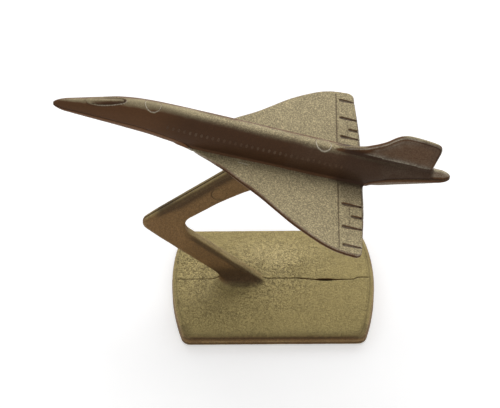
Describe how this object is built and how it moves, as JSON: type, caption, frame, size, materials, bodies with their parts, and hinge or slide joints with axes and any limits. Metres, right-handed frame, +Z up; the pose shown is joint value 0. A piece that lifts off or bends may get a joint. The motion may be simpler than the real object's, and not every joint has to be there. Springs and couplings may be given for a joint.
{
  "type": "model airliner on a desk stand",
  "caption": "Cast desk model of a slender delta airliner, climbing, pivoted on the bent arm of a flat cast base.",
  "frame": {"origin": "on the resting surface, under the middle of the base", "axes": "+X from nose to tail, +Y from the near side to the far side of the picture, square to the mirror plane, +Z up"},
  "size_m": [0.1965, 0.1136, 0.1413],
  "materials": {
    "stand_casting": "pitted casting, gold-khaki finish, worn lighter on the edges",
    "aircraft_casting": "sand-textured casting, dull bronze-gold finish",
    "steel": "plain turned steel",
    "brass": "plain turned brass",
    "baize": "short matted baize"
  },
  "bodies": {
    "stand": {"near_stand_half": "stand_casting", "far_stand_half": "stand_casting", "arm_pin": "stand_casting", "left_base_dowel": "steel", "right_base_dowel": "steel", "base_plate": "steel", "plate_screw_1": "steel", "plate_screw_2": "steel", "plate_screw_3": "steel", "plate_screw_4": "steel", "baize_pad": "baize", "seat_washer": "brass"},
    "airliner": {"upper_airframe": "aircraft_casting", "lower_airframe": "aircraft_casting", "left_engine_box": "aircraft_casting", "right_engine_box": "aircraft_casting", "front_spine_pin": "aircraft_casting", "rear_spine_pin": "aircraft_casting", "pivot_bush": "brass", "pivot_screw": "steel", "spring_washer": "steel"}
  },
  "joints": [
    {"name": "aircraft_turn", "type": "hinge", "parent": "stand", "child": "airliner", "pos_m": [0.00572, 0, 0.1], "axis": [0.3007, 0, 0.9537], "continuous": true}
  ]
}
